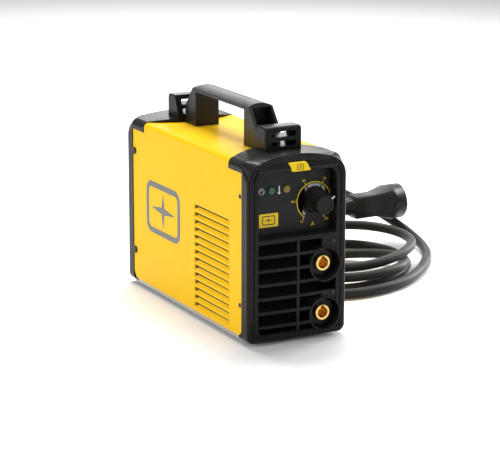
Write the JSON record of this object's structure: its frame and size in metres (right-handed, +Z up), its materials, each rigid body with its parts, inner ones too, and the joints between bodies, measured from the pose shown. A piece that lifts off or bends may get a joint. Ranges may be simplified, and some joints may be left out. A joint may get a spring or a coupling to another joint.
{
  "type": "stick welder",
  "caption": "Portable inverter stick welder: yellow steel case, moulded black ends, carrying handle, strap loops, current dial, two output sockets, rear fan and a mains cord with a plug.",
  "frame": {"origin": "on the floor under the middle of the machine's case, leaving out the free cord", "axes": "+X to the right seen from the front, +Y from the front (dial and sockets) to the back (fan and cord), +Z up"},
  "size_m": [0.4394, 0.4881, 0.267],
  "materials": {
    "painted_cover": "satin",
    "black_moulding": "satin",
    "charcoal_panel": "matte",
    "painted_badge": "gloss",
    "white_paint": "gloss",
    "green_lens": "gloss",
    "amber_lens": "gloss",
    "socket_brass": "satin",
    "copper_bar": "satin",
    "copper_winding": "gloss",
    "dark_core": "matte",
    "galvanised_sheet": "satin",
    "black_screw": "satin",
    "black_wire": "satin",
    "cord_rubber": "matte",
    "foot_rubber": "matte",
    "filter_foam": "matte",
    "plated_pins": "gloss",
    "board": "gloss",
    "steel_pillars": "satin",
    "chip_black": "matte",
    "heat_sink": "satin",
    "can_sleeve": "gloss"
  },
  "bodies": {
    "case": {"base_screws": "black_screw", "base_tray": "galvanised_sheet", "bus_capacitors": "can_sleeve", "cable_gland": "black_moulding", "control_board": "board", "control_board_pillars": "steel_pillars", "control_panel": "charcoal_panel", "cord_boot": "cord_rubber", "cover": "painted_cover", "dust_filter": "filter_foam", "ear_screws": "black_screw", "fan_frame": "black_moulding", "fan_guard": "black_wire", "fan_screws": "black_screw", "front_bezel": "black_moulding", "front_strap_loop": "black_moulding", "gland_locknut": "black_moulding", "handle": "black_moulding", "handle_screws": "black_screw", "left_heat_sink": "heat_sink", "main_board": "board", "main_board_pillars": "steel_pillars", "mains_cord": "cord_rubber", "negative_bus_bar": "copper_bar", "negative_socket_contact": "socket_brass", "negative_socket_housing": "black_moulding", "output_choke_core": "dark_core", "output_choke_winding": "copper_winding", "output_diodes": "chip_black", "overheat_led": "amber_lens", "panel_badge": "painted_badge", "plug_body": "cord_rubber", "plug_pins": "plated_pins", "positive_bus_bar": "copper_bar", "positive_socket_contact": "socket_brass", "positive_socket_housing": "black_moulding", "potentiometer": "chip_black", "potentiometer_nut": "steel_pillars", "power_led": "green_lens", "power_switch_body": "black_moulding", "power_transistors": "chip_black", "rear_bezel": "black_moulding", "rear_strap_loop": "black_moulding", "right_heat_sink": "heat_sink", "rubber_feet": "foot_rubber", "side_screws": "black_screw", "socket_nuts": "socket_brass", "soft_start_relay": "chip_black", "stud_nuts": "socket_brass", "top_badge": "painted_badge", "transformer_core": "dark_core", "transformer_winding": "copper_winding"},
    "knob": {"current_knob": "black_moulding", "knob_pointer": "white_paint", "potentiometer_shaft": "steel_pillars"},
    "fan": {"fan_rotor": "black_moulding"},
    "rocker": {"power_switch_rocker": "black_moulding"}
  },
  "joints": [
    {"name": "knob_turn", "type": "hinge", "parent": "case", "child": "knob", "pos_m": [0.0305, -0.1506, 0.162], "axis": [0, 1, 0], "range_deg": [-195, 85]},
    {"name": "rocker_tilt", "type": "hinge", "parent": "case", "child": "rocker", "pos_m": [-0.028, 0.1495, 0.168], "axis": [1, 0, 0], "range_deg": [0, 14]},
    {"name": "fan_spin", "type": "hinge", "parent": "case", "child": "fan", "pos_m": [0, 0.138, 0.07], "axis": [0, 1, 0], "continuous": true}
  ]
}
